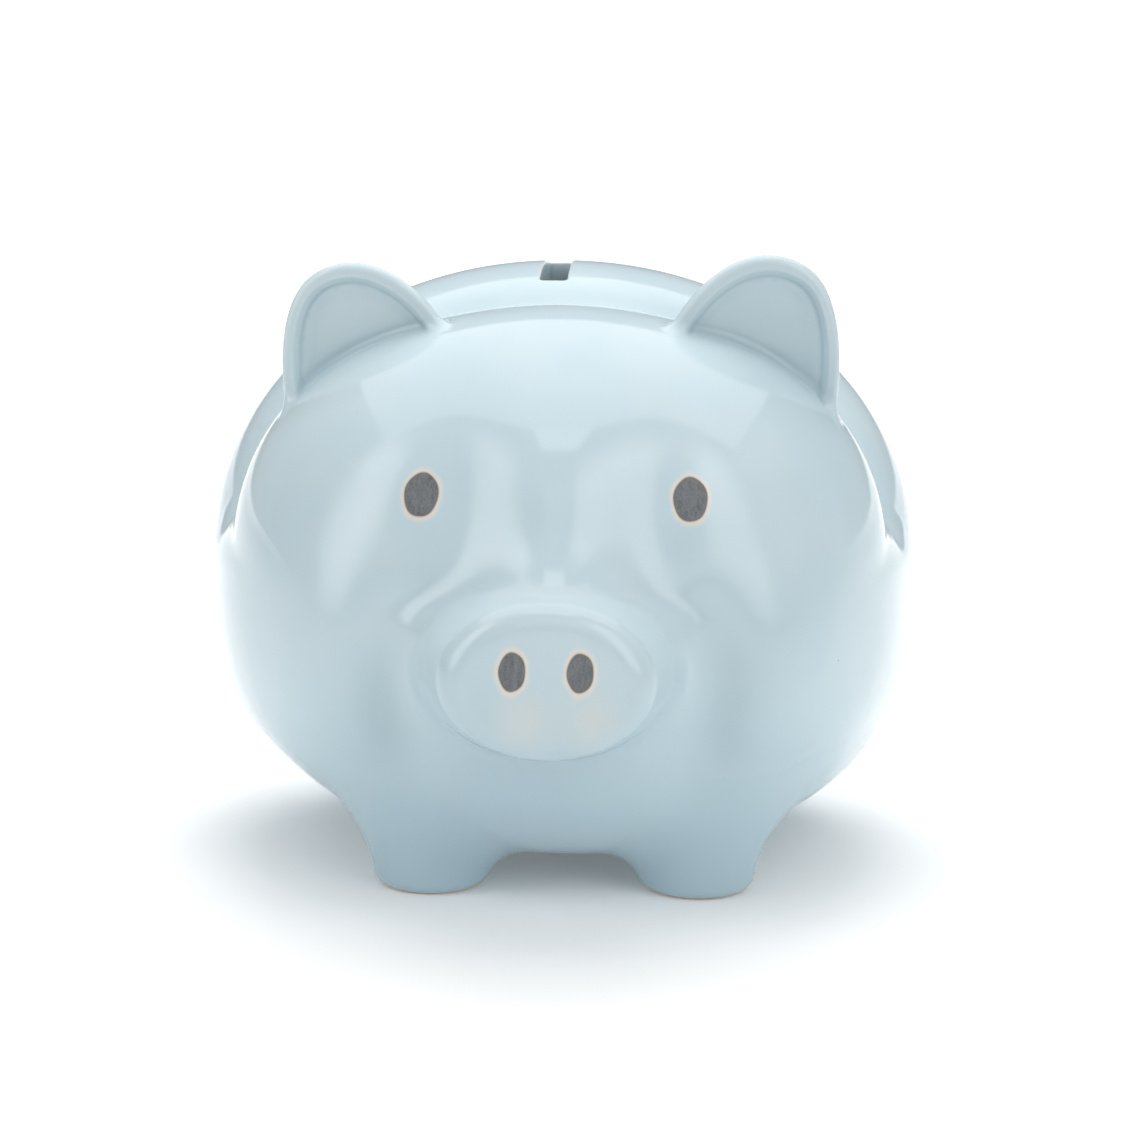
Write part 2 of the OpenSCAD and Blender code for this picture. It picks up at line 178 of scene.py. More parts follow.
# ---------------------------------------------------------------- small field helpers
def smooth_step(a, b, x):
    t = np.clip((x - a) / (b - a), 0, 1)
    return t * t * (3 - 2 * t)


def soft_min(a, b, k):
    h = np.maximum(k - np.abs(a - b), 0) / k
    return np.minimum(a, b) - h * h * k / 4


def soft_max(a, b, k):
    return -soft_min(-a, -b, k)


def bump(p, centre, radii):
    return np.exp(-(((p - np.array(centre, float)) / np.array(radii, float)) ** 2).sum(-1))


def rounded(a, b, r):
    """Intersection of two distances with a corner rounded by radius r."""
    u, v = np.maximum(a + r, 0), np.maximum(b + r, 0)
    return np.minimum(np.maximum(a, b) + r, 0) + np.sqrt(u * u + v * v) - r


def mirrored(p):
    return np.stack([np.abs(p[..., 0]), p[..., 1], p[..., 2]], -1)


# ---------------------------------------------------------------- the pig's skin
def egg(p, centre, half_width, half_length, up, down, n_up, n_down):
    """An egg whose front view is a superellipse with its own upper and lower half."""
    q = p - np.array(centre, float)
    half_height = np.where(q[..., 2] > 0, up, down)
    n = np.where(q[..., 2] > 0, n_up, n_down)
    a = np.abs(q[..., 0]) / half_width
    b = np.abs(q[..., 2]) / half_height
    y = np.abs(q[..., 1]) / half_length
    w = np.maximum(a ** n + b ** n, 1e-12) ** (1 / n)
    k = np.sqrt(w * w + y * y)
    slope = w ** (1 - n) * np.sqrt((a ** (n - 1) / half_width) ** 2 + (b ** (n - 1) / half_height) ** 2)
    return (k - 1) * k / np.maximum(np.sqrt((w * slope) ** 2 + (y / half_length) ** 2), 1e-9)


RELIEF = (                               # height in mm, middle (x mirrored) and reach
    (5.5, (0, -61, 66.5), (12, 30, 7)),  # bridge of the nose, sloping out to the snout
    (2.0, (0, -59, 76), (9, 30, 22)),    # low ridge up the forehead
    (-2.0, (18, -57, 78), (8, 30, 16)),  # hollow beside the bridge
    (3.2, (42, -47, 50), (13, 30, 17)),  # cheek
    (-4.0, (28, -57, 42), (8, 30, 20)),  # fold between muzzle and cheek
    (4.0, (0, -55, 25), (21, 30, 9)),    # chin
    (-1.0, (0, -59, 36), (15, 30, 4)),   # fold under the snout
    (0.9, (0, -5, 112), (17, 25, 12)),   # crown between the ears
)


def head(p):
    s = mirrored(p)
    return egg(p, **HEAD) - sum(height * bump(s, middle, reach) for height, middle, reach in RELIEF)


def skin(p):
    """Head and trunk in one, with a crease at the neck that fades down the flanks."""
    sag = np.zeros(p.shape)
    sag[..., 0] = BELLY_SHIFT * smooth_step(28, 14, p[..., 2])
    p = p - sag
    sharp = smooth_step(60, 74, p[..., 2])
    body, face = egg(p, **TRUNK), head(p)
    f = soft_min(body, face, CREASE_FLANK + (CREASE_CROWN - CREASE_FLANK) * sharp)
    f = f + NECK_DEPTH * sharp * np.exp(-((body - face) / NECK_WIDTH) ** 2)
    return soft_max(f, BELLY_Z - p[..., 2], BELLY_BLEND)


def foot(p, name):
    x, y = FEET[name]
    z = p[..., 2]
    side = np.hypot(p[..., 0] - x, p[..., 1] - y) - (FOOT_RADIUS + FOOT_TAPER * np.maximum(z, 0))
    return np.maximum(rounded(side, -z, FOOT_ROUND), z - FOOT_TOP)


def snout(p):
    flare = 1 + SNOUT_FLARE * np.clip(p[..., 1] - SNOUT_FRONT, 0, SNOUT_DEPTH)
    half_x, half_z = SNOUT_HALF
    u = (p[..., 0] - SNOUT_MIDDLE[0]) / (half_x * flare)
    w = (p[..., 2] - SNOUT_MIDDLE[1]) / (half_z * flare)
    k = np.sqrt(u * u + w * w)
    side = (k - 1) * k / np.maximum(np.sqrt((u / half_x) ** 2 + (w / half_z) ** 2), 1e-6)
    return np.maximum(rounded(side, SNOUT_FRONT - p[..., 1], SNOUT_ROUND), p[..., 1] - SNOUT_BACK)


def ear_axes():
    """Along the base, up the leaf, and out of its cupped face, for the ear on +X."""
    across = np.array([math.cos(EAR_SLOPE) * math.cos(EAR_TURN), math.cos(EAR_SLOPE) * math.sin(EAR_TURN),
                       -math.sin(EAR_SLOPE)])
    out = np.array([math.sin(EAR_TURN), -math.cos(EAR_TURN), 0])
    return across, np.cross(out, across), out


def ear_lift(u, v):
    """How far forward of its plane the ear's middle surface lies."""
    return np.where(u > 0, EAR_CUP_OUT, EAR_CUP) * u * u + EAR_CURL * np.maximum(v, 0) ** 2 + EAR_SET


def ear_place(p, side):
    """Where a point lies along an ear's base, up its leaf, and in front of its middle surface."""
    q = mirrored(p) - np.array(EAR_BASE)
    across, up, out = ear_axes()
    u, v, w = q @ across, q @ up, q @ out
    u = u - EAR_SKEW[side] * v / EAR_RISE[side]
    return u, v, w - ear_lift(u, v)


def ear_edge(u, v, side):
    """Distance past the leaf's outline, below zero inside it."""
    half, rise = np.where(u > 0, EAR_OUT[side], EAR_IN[side]), EAR_RISE[side]
    a, t = np.abs(u) / half, np.maximum(v, 0) / rise
    arch = np.where(u > 0, EAR_ARCH_OUT, 2.0)
    k = np.sqrt(a * a + t ** arch)
    steep = np.sqrt((a / half) ** 2 + (arch / 2 * t ** (arch - 1) / rise) ** 2)
    return np.where(k > 0.6, (k - 1) * k / np.maximum(steep, 1e-6), -FAR)


def ear(p, side):
    """A cupped leaf with a round rim. side is -1 or 1."""
    u, v, w = ear_place(p, side)
    edge = ear_edge(u, v, side)
    f = np.sqrt(np.maximum(edge + EAR_RADIUS, 0) ** 2 + w * w) - EAR_RADIUS
    f = f + EAR_DISH * smooth_step(-EAR_RIM, -EAR_RIM - 1.6, edge) * smooth_step(-0.5, 1.0, w)
    f = f + EAR_SEAM * np.exp(-((w - EAR_SEAM_AT) / EAR_SEAM_WIDTH) ** 2) * smooth_step(-1.8, -1.0, edge)
    f = soft_max(f, -v - EAR_ROOT, 2)
    return np.where(p[..., 0] * side > 0, f, FAR)


def tail_line():
    """Points along the curl, laid on the rump, and the tail's radius at each."""
    t = np.linspace(0, 1, 120)
    a = math.pi / 2 - CURL_TURN * t
    r = CURL_RADIUS * (1 - CURL_TIGHTENS * t)
    p = np.stack([r * np.cos(a), np.full_like(t, 50.0), CURL_Z + r * np.sin(a)], -1)
    low, high = np.full_like(t, 30.0), np.full_like(t, 95.0)
    for _ in range(30):
        p[:, 1] = (low + high) / 2
        inside = skin(p) < 0
        low, high = np.where(inside, p[:, 1], low), np.where(inside, high, p[:, 1])
    p[:, 1] += TAIL_PROUD * TAIL_RADIUS
    return p, TAIL_RADIUS * (1 - TAIL_TAPER * t) * TAIL_START


TAIL_POINTS, TAIL_RADII = tail_line()


def tail(p):
    low, high = TAIL_POINTS.min(0) - 12, TAIL_POINTS.max(0) + 12
    near = ((p > low) & (p < high)).all(-1)
    f = np.full(p.shape[:-1], 20.0)
    if near.any():
        q = p[near]
        best = np.full(len(q), FAR)
        for c, r in zip(TAIL_POINTS, TAIL_RADII):
            best = np.minimum(best, np.sqrt(((q - c) ** 2).sum(-1)) - r)
        f[near] = best
    return f


def outer(p):
    """The whole glazed outside, with every limb blended on."""
    f, z = skin(p), p[..., 2]
    for name in FEET:
        f = soft_min(f, foot(p, name), FOOT_BLEND)
    f = soft_min(f, snout(p), SNOUT_BLEND + (SNOUT_BLEND_TOP - SNOUT_BLEND) * smooth_step(58, 66, z))
    f = soft_min(f, ear(p, -1), EAR_BLEND)
    f = soft_min(f, ear(p, 1), EAR_BLEND)
    return soft_min(f, tail(p), TAIL_BLEND)


def slot(p):
    """The coin slot's opening, seen from above a rounded rectangle."""
    c, s = math.cos(SLOT_TURN), math.sin(SLOT_TURN)
    x, y = p[..., 0] - SLOT_MIDDLE[0], p[..., 1] - SLOT_MIDDLE[1]
    u, v = c * x + s * y, -s * x + c * y
    f = rounded(np.abs(u) - SLOT_SIZE[0] / 2, np.abs(v) - SLOT_SIZE[1] / 2, SLOT_CORNER)
    return np.maximum(f, SLOT_BOTTOM - p[..., 2])


def hole(p):
    """Distances past the stopper's bore and past the wider seat of its flange."""
    r = np.hypot(p[..., 0] - HOLE_MIDDLE[0], p[..., 1] - HOLE_MIDDLE[1])
    return r - HOLE_RADIUS, r - (FLANGE_RADIUS + SEAT_GAP)


def ceramic(p):
    """The fired pig: glazed outside, cavity, slot and stopper hole."""
    f = outer(p)
    z = p[..., 2]
    bore, seat = hole(p)
    f = soft_max(f, -z, SOLE_ROUND)
    f = soft_max(f, -np.maximum(seat, z - SEAT_Z), EDGE_ROUND)
    f = soft_max(f, -(skin(p) + WALL), INNER_ROUND)
    f = soft_max(f, -np.maximum(bore, z - BORE_TOP), EDGE_ROUND)
    return soft_max(f, -slot(p), SLOT_LIP)


def stopper(p):
    """A soft plug: flange, tapered nose, cup and a grip bar across it."""
    x, y, z = p[..., 0] - HOLE_MIDDLE[0], p[..., 1] - HOLE_MIDDLE[1], p[..., 2]
    r = np.hypot(x, y)
    base = SEAT_Z - FLANGE_THICK
    flange = rounded(r - FLANGE_RADIUS, np.maximum(base - z, z - SEAT_Z), 0.9)
    nose = 1.2 * smooth_step(PLUG_TOP - 3, PLUG_TOP, z)
    plug = rounded(r - (HOLE_RADIUS - 0.05) + nose, np.maximum(base + 0.5 - z, z - PLUG_TOP), 0.8)
    f = soft_min(flange, plug, 0.5)
    cup = rounded(r - CUP_RADIUS, np.maximum(base - 5 - z, z - (PLUG_TOP - 2.5)), 1.0)
    f = soft_max(f, -cup, 0.8)
    grip = rounded(np.abs(y) - GRIP_HALF, np.maximum(base + 1 - z, z - (PLUG_TOP - 1.5)), 0.9)
    return soft_min(f, np.maximum(grip, r - CUP_RADIUS - 1), 0.8)


# ---------------------------------------------------------------- meshing
def slope_of(f, p, step=0.04):
    """Gradient of a field at each point."""
    g = np.empty_like(p)
    for i in range(3):
        d = np.zeros(3)
        d[i] = step
        g[:, i] = (f(p + d) - f(p - d)) / (2 * step)
    return g


def unit(v):
    return v / np.maximum(np.linalg.norm(v, axis=-1, keepdims=True), 1e-9)


def pull(f, p, steps=3, reach=0.8):
    """Moves points onto the surface f = 0."""
    for _ in range(steps):
        value, g = f(p), slope_of(f, p)
        d = value[:, None] * g / np.maximum((g * g).sum(1), 1e-6)[:, None]
        size = np.linalg.norm(d, axis=1, keepdims=True)
        p = p - d * np.minimum(1, reach / np.maximum(size, 1e-9))
    return p


def sample(f, low, high, cell, block=12):
    """f on a grid. A block that is far from the surface is filled with its middle's sign."""
    n = np.ceil((np.array(high) - low) / cell).astype(int) + 1
    axes = [low[i] + cell * np.arange(n[i]) for i in range(3)]
    values = np.empty(n, np.float32)
    reach = cell * block * math.sqrt(3) / 2
    for i in range(0, n[0], block):
        for j in range(0, n[1], block):
            for k in range(0, n[2], block):
                part = [axes[0][i:i + block], axes[1][j:j + block], axes[2][k:k + block]]
                middle = f(np.array([[(a[0] + a[-1]) / 2 for a in part]]))[0]
                here = (slice(i, i + block), slice(j, j + block), slice(k, k + block))
                if abs(middle) > 1.6 * reach + 4:
                    values[here] = middle
                else:
                    values[here] = f(np.stack(np.meshgrid(*part, indexing="ij"), -1))
    return values


def surface_net(f, low, high, cell):
    """Closed triangle mesh of f = 0: one vertex in each cell that the surface crosses."""
    low = np.array(low, float)
    values = sample(f, low, high, cell)
    inside = values < 0
    n = np.array(values.shape)
    corners = [(a, b, c) for a in (0, 1) for b in (0, 1) for c in (0, 1)]
    count = sum(inside[a:n[0] - 1 + a, b:n[1] - 1 + b, c:n[2] - 1 + c].astype(np.int8) for a, b, c in corners)
    active = (count > 0) & (count < 8)
    cells = np.argwhere(active)
    number = np.full(active.shape, -1, np.int64)
    number[active] = np.arange(len(cells))
    corner_value = {o: values[tuple((cells + o).T)] for o in corners}
    total, hits = np.zeros((len(cells), 3)), np.zeros(len(cells))
    for o in corners:
        for axis in range(3):
            if o[axis]:
                continue
            far = tuple(1 if i == axis else o[i] for i in range(3))
            a, b = corner_value[o], corner_value[far]
            crossed = (a < 0) != (b < 0)
            point = np.tile(np.array(o, float), (len(cells), 1))
            point[:, axis] = np.where(crossed, a / np.where(crossed, a - b, 1), 0)
            total += point * crossed[:, None]
            hits += crossed
    verts = (cells + total / hits[:, None]) * cell + low
    quads = []
    for a in range(3):
        b, c = (a + 1) % 3, (a + 2) % 3
        first, second = [slice(None)] * 3, [slice(None)] * 3
        first[a], second[a] = slice(0, -1), slice(1, None)
        s0, s1 = inside[tuple(first)], inside[tuple(second)]
        e = np.argwhere(s0 != s1)
        up = s0[tuple(e.T)]

        def around(db, dc):
            q = e.copy()
            q[:, b] += db
            q[:, c] += dc
            return number[tuple(q.T)]

        q = np.stack([around(-1, -1), around(0, -1), around(0, 0), around(-1, 0)], 1)
        q[~up] = q[~up][:, ::-1]
        quads.append(q)
    q = np.concatenate(quads)
    p = pull(f, verts, 4)
    short = np.linalg.norm(p[q[:, 0]] - p[q[:, 2]], axis=1) < np.linalg.norm(p[q[:, 1]] - p[q[:, 3]], axis=1)
    halves = np.where(short[:, None, None], q[:, [[0, 1, 2], [0, 2, 3]]], q[:, [[0, 1, 3], [1, 2, 3]]])
    return p, halves.reshape(-1, 3)


def edges_of(tris):
    """Each triangle's three edge numbers, and the edges' two ends."""
    pairs = np.sort(tris[:, [[0, 1], [1, 2], [2, 0]]].reshape(-1, 2), axis=1)
    ends, index = np.unique(pairs, axis=0, return_inverse=True)
    return index.reshape(-1, 3), ends


def relax(f, p, tris, rounds=3):
    """Evens the triangles out by moving each vertex towards its neighbours' middle, on the surface."""
    _, ends = edges_of(tris)
    degree = np.bincount(ends.ravel(), minlength=len(p))[:, None]
    for _ in range(rounds):
        total = np.zeros_like(p)
        for i in range(3):
            total[:, i] = (np.bincount(ends[:, 0], p[ends[:, 1], i], len(p))
                           + np.bincount(ends[:, 1], p[ends[:, 0], i], len(p)))
        p = pull(f, p + 0.6 * (total / degree - p), 2)
    return pull(f, p, 4, 0.5)


def split(tris, edge_index, middle):
    """Splits triangles at their marked edges. middle holds a vertex number for each edge, or -1.

    Gives the new triangles and the number of the old triangle that each came from.
    """
    m = middle[edge_index]
    marks = (m >= 0).sum(1)
    out, source = [tris[marks == 0]], [np.flatnonzero(marks == 0)]

    def add(rows, *new):
        for t in new:
            out.append(np.stack(t, 1))
            source.append(rows)

    for turn in range(3):
        order = [turn, (turn + 1) % 3, (turn + 2) % 3]
        rows = np.flatnonzero((marks == 1) & (m[:, turn] >= 0))
        a, b, c = tris[rows][:, order].T
        ab = m[rows, turn]
        add(rows, (a, ab, c), (ab, b, c))
        rows = np.flatnonzero((marks == 2) & (m[:, order[2]] < 0))
        a, b, c = tris[rows][:, order].T
        ab, bc = m[rows, order[0]], m[rows, order[1]]
        add(rows, (ab, b, bc), (a, ab, bc), (a, bc, c))
    rows = np.flatnonzero(marks == 3)
    a, b, c = tris[rows].T
    ab, bc, ca = m[rows].T
    add(rows, (a, ab, ca), (ab, b, bc), (ca, bc, c), (ab, bc, ca))
    return np.concatenate(out), np.concatenate(source)


def refine(f, p, tris, turn, shortest, extra=None):
    """Halves each edge along which the surface turns by more than the angle turn."""
    n = unit(slope_of(f, p))
    index, ends = edges_of(tris)
    a, b = ends.T
    length = np.linalg.norm(p[a] - p[b], axis=1)
    wanted = ((n[a] * n[b]).sum(1) < math.cos(turn)) & (length > shortest)
    if extra is not None:
        wanted |= extra((p[a] + p[b]) / 2, length)
    middle = np.full(len(ends), -1, np.int64)
    middle[wanted] = len(p) + np.arange(wanted.sum())
    fresh = pull(f, (p[a] + p[b])[wanted] / 2, 6, 0.5)
    tris, _ = split(tris, index, middle)
    return np.concatenate([p, fresh]), tris


def cut(f, p, tris, labels, zone, name):
    """Cuts the mesh along zone = 0 and labels what lies below zero."""
    z = zone(p)
    g = slope_of(zone, p)
    n = unit(slope_of(f, p))
    g -= (g * n).sum(1)[:, None] * n
    size = np.maximum(np.linalg.norm(g, axis=1), 1e-6)
    index, ends = edges_of(tris)
    length = np.full(len(p), FAR)
    span = np.linalg.norm(p[ends[:, 0]] - p[ends[:, 1]], axis=1)
    np.minimum.at(length, ends[:, 0], span)
    np.minimum.at(length, ends[:, 1], span)
    close = np.abs(z) / size < 0.3 * length
    p = p.copy()
    p[close] -= (z / size ** 2)[close, None] * g[close]
    p[close] = pull(f, p[close], 2)
    z[close] = 0
    a, b = ends.T
    crossed = z[a] * z[b] < 0
    t = (z[a] / np.where(crossed, z[a] - z[b], 1))[crossed, None]
    fresh = pull(f, p[a[crossed]] * (1 - t) + p[b[crossed]] * t, 2)
    middle = np.full(len(ends), -1, np.int64)
    middle[crossed] = len(p) + np.arange(crossed.sum())
    tris, source = split(tris, index, middle)
    labels = labels[source]
    z = np.concatenate([z, np.zeros(len(fresh))])
    labels[z[tris].sum(1) < 0] = name
    return np.concatenate([p, fresh]), tris, labels


def roof(f, p, tris, labels, name):
    """Adds a middle point to each triangle with all its corners on a region's outline.

    A lining can then dip under it.
    """
    mine = np.flatnonzero(labels == name)
    index, ends = edges_of(tris[mine])
    on_rim = np.zeros(len(p), bool)
    on_rim[ends[np.bincount(index.ravel(), minlength=len(ends)) == 1]] = True
    rows = mine[on_rim[tris[mine]].all(1)]
    a, b, c = tris[rows].T
    m = len(p) + np.arange(len(rows))
    new = np.concatenate([np.stack(t, 1) for t in ((a, b, m), (b, c, m), (c, a, m))])
    keep = np.setdiff1d(np.arange(len(tris)), rows)
    labels = np.concatenate([labels[keep], np.full(len(new), name, labels.dtype)])
    fresh = pull(f, p[tris[rows]].mean(1), 4, 0.5)
    return np.concatenate([p, fresh]), np.concatenate([tris[keep], new]), labels


def seek(p, low, high, along):
    """Slides each point along a direction, between two offsets, to where it meets the skin."""
    low, high = np.full(len(p), float(low)), np.full(len(p), float(high))
    for _ in range(22):
        middle = (low + high) / 2
        inside = skin(p + middle[:, None] * along) < 0
        low, high = np.where(inside, middle, low), np.where(inside, high, middle)
    return p + low[:, None] * along


# ---------------------------------------------------------------- zones: where each piece begins
def limb_zone(limb):
    """A limb's share of the outside ends half way up its fillet, and never reaches the cavity."""
    def zone(p):
        s = skin(p)
        return np.maximum(limb(p) - s, -2 - s)
    return zone


def spot(centre, right, up, size):
    """Distance to the wavering edge of a hand-painted oval."""
    def zone(p):
        q = p - centre
        u, v = q @ right / (size[0] / 2), q @ up / (size[1] / 2)
        a = np.arctan2(v, u)
        waver = 1 + 0.02 * np.sin(2 * a + centre[0]) + 0.015 * np.sin(5 * a + 2 * centre[0])
        flat = (np.sqrt(u * u + v * v) - waver) * size[0] / 2
        return np.maximum(flat, np.abs(q @ np.cross(right, up)) - 4)
    return zone


def eye_frame(side):
    """Middle, right and up of an eye, on the skin."""
    start = np.array([[side * EYE_X, 0.0, EYE_Z]])
    centre = seek(start, 20, 90, np.array([0.0, -1.0, 0.0]))
    out = unit(slope_of(skin, centre))[0]
    up = unit(np.array([0.0, 0.0, 1.0]) - out[2] * out)
    return centre[0], np.cross(up, out), up


def nostril_frame(side):
    """Middle, right and up of a nostril, on the snout's flat face."""
    centre = np.array([SNOUT_MIDDLE[0] + side * NOSTRIL_X, SNOUT_FRONT, SNOUT_MIDDLE[1] + NOSTRIL_UP])
    return centre, np.array([1.0, 0.0, 0.0]), np.array([0.0, 0.0, 1.0])


# ---------------------------------------------------------------- hidden faces where two pieces meet
def under_snout(p):
    depth = np.clip(skin(p) / 10, 0, 1)
    shrink = (1 - 0.5 * depth)[:, None]
    q = p.copy()
    middle = np.array([SNOUT_MIDDLE[0], SNOUT_MIDDLE[1]])
    q[:, [0, 2]] = middle + (p[:, [0, 2]] - middle) * shrink
    q[:, 1] = 0
    return seek(q, 30, 90, np.array([0.0, -1.0, 0.0]))


def under_foot(name):
    def place(p):
        depth = np.clip(1 - p[:, 2] / 12, 0, 1)
        middle = np.array(FEET[name])
        q = p.copy()
        q[:, :2] = middle + (p[:, :2] - middle) * (1 - 0.5 * depth)[:, None]
        q[:, 2] = 50
        return seek(q, 10, 52, np.array([0.0, 0.0, -1.0]))
    return place


def under_ear(side):
    def place(p):
        u, v, w = ear_place(p, side)
        shrink = 1 - 0.9 * np.clip(v / EAR_RISE[side], 0, 1)
        across, up, out = ear_axes()
        lift = ear_lift(u * shrink, 0 * v)
        q = (np.array(EAR_BASE) + (u * shrink)[:, None] * across + (w * shrink + lift)[:, None] * out)
        flip = np.array([side, 1, 1])
        return seek(q * flip, -16, 18, up * flip)
    return place


def under_tail(p):
    return pull(skin, p, 4)


def under_spot(zone, f, size):
    def place(p):
        depth = np.sqrt(np.clip(-zone(p) / (size[0] / 2), 0, 1))
        return p - unit(slope_of(f, p)) * (INLAY * depth)[:, None]
    return place


def buried(p, depth=0.35):
    """Keeps the points of a hidden joint a little below the glaze."""
    out = np.maximum(ceramic(p) + depth, 0)
    return p - out[:, None] * unit(slope_of(ceramic, p))


def lined(p, region, place, under=0.5):
    """Adds a copy of a region's faces, laid where the hidden joint is, that shares the region's outline.

    The first row inside the outline stays just under its own faces, so the copy can't break the glaze.
    """
    index, ends = edges_of(region)
    uses = np.bincount(index.ravel(), minlength=len(ends))
    on_rim = np.zeros(len(p), bool)
    on_rim[ends[uses == 1]] = True
    inner = np.setdiff1d(np.unique(region), np.flatnonzero(on_rim))
    first = np.isin(inner, region[on_rim[region].any(1)])
    number = np.arange(len(p))
    number[inner] = len(p) + np.arange(len(inner))
    fresh = place(p[inner])
    fresh[first] = p[inner[first]] - under * unit(slope_of(ceramic, p[inner[first]]))
    return np.concatenate([p, fresh]), number[region]


# ---------------------------------------------------------------- pieces
def hollow_of(f, p, n, reach):
    """How far the surface curves away from its own tangent plane: above zero in hollows."""
    side = unit(np.cross(n, np.where(np.abs(n[:, [2]]) < 0.8, [[0.0, 0, 1]], [[1.0, 0, 0]])))
    other = np.cross(n, side)
    total = sum(f(p + reach * d) for d in (side, -side, other, -other))
    return -total / (4 * reach)


def paint_gap(p):
    """Distance in mm to the nearest painted spot, below zero inside it."""
    frames = [(eye_frame(side), EYE_SIZE) for side in (-1, 1)]
    frames += [(nostril_frame(side), NOSTRIL_SIZE) for side in (-1, 1)]
    return np.min([spot(*frame, size)(p) for frame, size in frames], axis=0)


def warm_glaze(p):
    """Two faint warm runs in the glaze below the nostrils."""
    total = np.zeros(len(p))
    for side in (-1, 1):
        middle = nostril_frame(side)[0] + np.array([2.0, 0.0, -9.0])
        total += bump(p, middle, (4.5, 6.0, 5.0))
    return total


def make_piece(name, f, p, tris, material, body):
    """Makes one object that replaces a CAD node, with the values that its material reads at each vertex."""
    used, inverse = np.unique(tris, return_inverse=True)
    p, tris = p[used], inverse.reshape(-1, 3)
    mesh = bpy.data.meshes.new(name)
    mesh.vertices.add(len(p))
    mesh.loops.add(tris.size)
    mesh.polygons.add(len(tris))
    mesh.vertices.foreach_set("co", (p * MM).astype(np.float32).ravel())
    mesh.loops.foreach_set("vertex_index", tris.astype(np.int32).ravel())
    mesh.polygons.foreach_set("loop_start", np.arange(0, tris.size, 3, dtype=np.int32))
    mesh.polygons.foreach_set("use_smooth", np.ones(len(tris), bool))
    mesh.update(calc_edges=True)
    n = unit(slope_of(f, p))
    for label, reach in (("fine", 1.0), ("broad", 4.0)):
        layer = mesh.attributes.new(label, "FLOAT", "POINT")
        layer.data.foreach_set("value", hollow_of(f, p, n, reach).astype(np.float32))
    for label, value in (("depth", -skin(p)), ("paint", paint_gap(p)), ("warm", warm_glaze(p))):
        layer = mesh.attributes.new(label, "FLOAT", "POINT")
        layer.data.foreach_set("value", value.astype(np.float32))
    mesh.normals_split_custom_set_from_vertices(n.tolist())
    obj = bpy.data.objects.new(name, mesh)
    bpy.context.scene.collection.objects.link(obj)
    mesh.materials.append(material)
    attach(obj, body)
    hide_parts(name)
    return obj


def near_paint(zones):
    """Asks refine() for short edges along the painted outlines, so that they come out smooth."""
    def extra(p, length):
        wanted = np.zeros(len(p), bool)
        for zone in zones:
            wanted |= (np.abs(zone(p)) < PAINT_BAND) & (length > PAINT_EDGE)
        return wanted
    return extra


def build_ceramic(glaze, dark):
    """Meshes the fired pig whole, cuts it into its pieces, and closes each with a shared hidden lining."""
    low, high = SHELL_LOW - 4, np.maximum(SHELL_HIGH, node_box("ear_left")[1]) + 4
    low[1], high[1] = SNOUT_FRONT - 4, node_box("tail")[1][1] + 5
    low[2] = -3.0
    eyes = {"eye_left": eye_frame(-1), "eye_right": eye_frame(1)}
    nostrils = {"nostril_left": nostril_frame(-1), "nostril_right": nostril_frame(1)}
    paint = {k: spot(*v, EYE_SIZE) for k, v in eyes.items()}
    paint.update({k: spot(*v, NOSTRIL_SIZE) for k, v in nostrils.items()})
    limbs = {name: (limb_zone(lambda p, n=name: foot(p, n)), under_foot(name)) for name in FEET}
    limbs["snout"] = (limb_zone(snout), under_snout)
    limbs["ear_left"] = (limb_zone(lambda p: ear(p, -1)), under_ear(-1))
    limbs["ear_right"] = (limb_zone(lambda p: ear(p, 1)), under_ear(1))
    limbs["tail"] = (limb_zone(tail), under_tail)

    p, tris = surface_net(ceramic, low, high, CELL)
    p = relax(ceramic, p, tris)
    for _ in range(3):
        p, tris = refine(ceramic, p, tris, FINE_TURN, FINE_EDGE, near_paint(paint.values()))
    labels = np.full(len(tris), "body_shell", "U20")
    for name, (zone, _) in limbs.items():
        p, tris, labels = cut(ceramic, p, tris, labels, zone, name)
    for name, zone in paint.items():
        p, tris, labels = cut(ceramic, p, tris, labels, zone, name)

    for name in [*limbs, *paint]:
        p, tris, labels = roof(ceramic, p, tris, labels, name)
    faces = {name: [tris[labels == name]] for name in np.unique(labels)}
    for name, zone in paint.items():
        size = EYE_SIZE if name.startswith("eye") else NOSTRIL_SIZE
        p, lining = lined(p, faces[name][0], under_spot(zone, ceramic, size))
        faces[name].append(lining[:, ::-1])
        faces["body_shell" if name.startswith("eye") else "snout"].append(lining)
    for name, (_, place) in limbs.items():
        region = faces[name][0]
        if name == "snout":
            region = np.concatenate([region] + [faces[k][0] for k in nostrils])
        p, lining = lined(p, region, lambda q, put=place: buried(put(q)))
        faces[name].append(lining[:, ::-1])
        faces["body_shell"].append(lining)
    for name, parts in faces.items():
        painted = name in paint
        make_piece(name, ceramic, p, np.concatenate(parts), dark if painted else glaze, "bank")


def build_stopper(rubber):
    """The pull-out plug, the only piece that moves on its own."""
    p, tris = surface_net(stopper, STOPPER_LOW - 2, STOPPER_HIGH + 2, 0.6)
    p = relax(stopper, p, tris)
    p, tris = refine(stopper, p, tris, math.radians(14), 0.3)
    make_piece("stopper", stopper, p, tris, rubber, "stopper")


